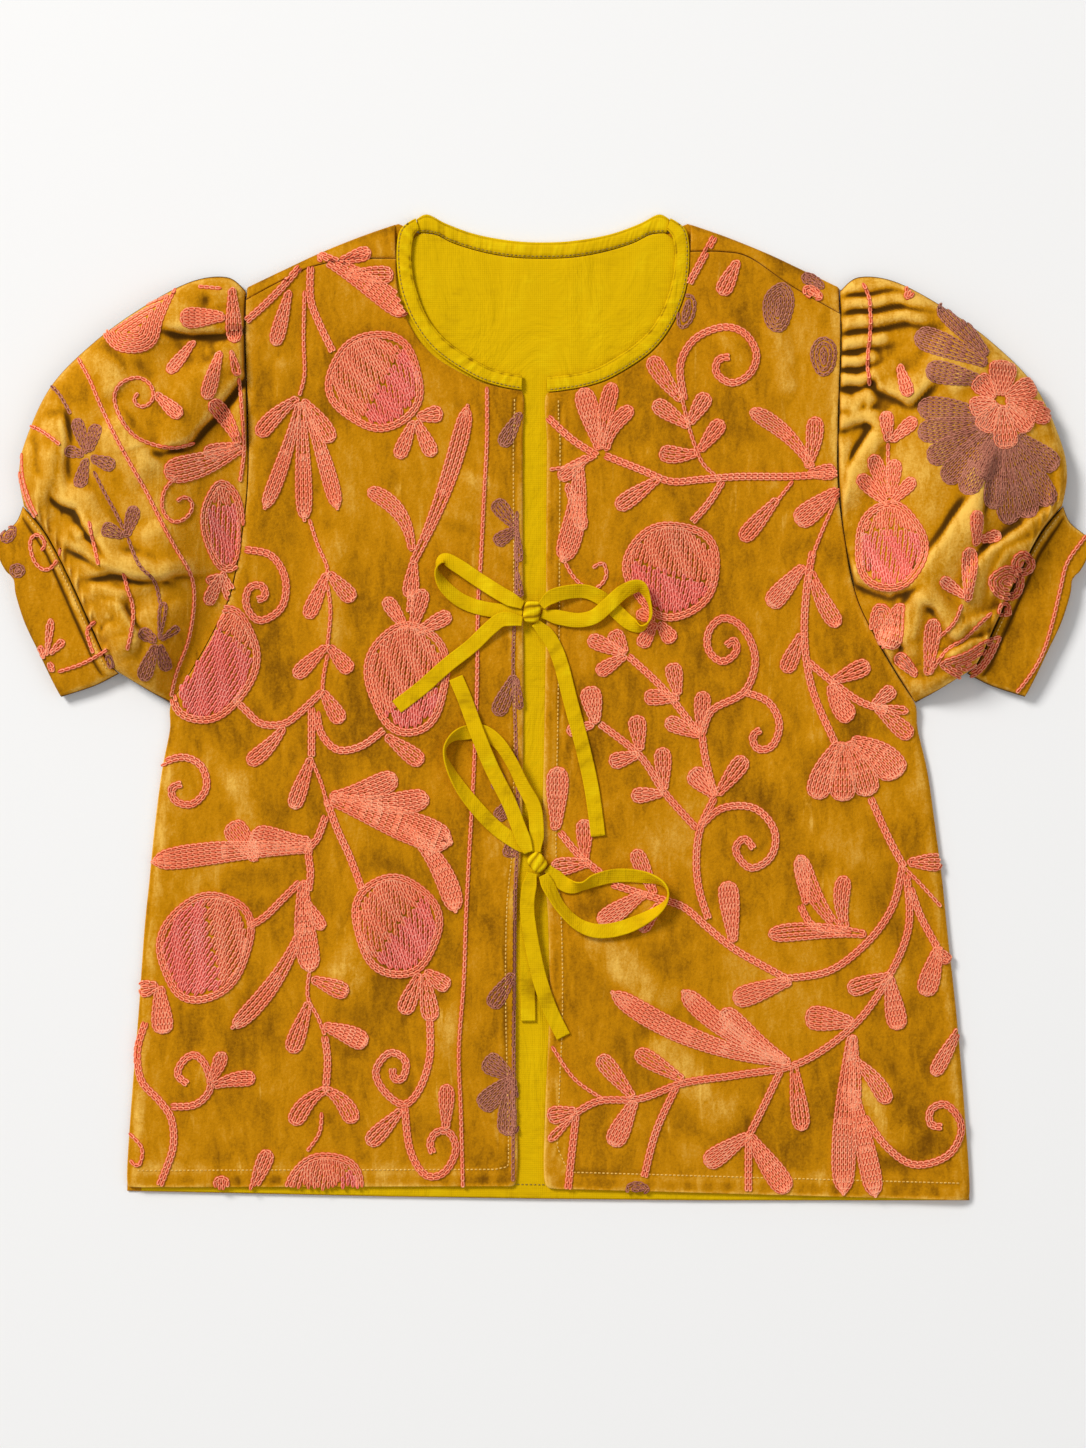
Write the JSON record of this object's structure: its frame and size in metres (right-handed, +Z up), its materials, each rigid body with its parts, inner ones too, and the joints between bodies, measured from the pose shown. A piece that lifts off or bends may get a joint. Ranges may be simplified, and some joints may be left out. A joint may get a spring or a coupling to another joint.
{
  "type": "tied puff-sleeve jacket top",
  "caption": "Short-sleeved velvet jacket top with puff sleeves, bound neck and tied front bows, laid flat on its back.",
  "frame": {"origin": "on the surface the top lies on, under the middle of its outline", "axes": "+Z up from the surface, +Y towards the neck, +X towards the wearer's left sleeve"},
  "size_m": [0.6794, 0.6159, 0.0348],
  "materials": {
    "velvet": "ochre cotton velvet, short nap",
    "lime_cotton": "plain-woven lime cotton, matt"
  },
  "bodies": {
    "root": {"back": "velvet", "back_shoulder_right": "velvet", "back_shoulder_left": "velvet", "front_right": "velvet", "front_left": "velvet", "sleeve_right": "velvet", "sleeve_left": "velvet", "cuff_right": "velvet", "cuff_left": "velvet", "back_lining": "lime_cotton", "neck_binding_right": "lime_cotton", "neck_binding_left": "lime_cotton", "neck_binding_back": "lime_cotton", "knot_upper": "lime_cotton", "loop_upper_right": "lime_cotton", "loop_upper_left": "lime_cotton", "tail_upper_right": "lime_cotton", "tail_upper_left": "lime_cotton", "knot_lower": "lime_cotton", "loop_lower_right": "lime_cotton", "loop_lower_left": "lime_cotton", "tail_lower_up": "lime_cotton", "tail_lower_gap": "lime_cotton", "tail_lower_left": "lime_cotton"}
  },
  "joints": []
}
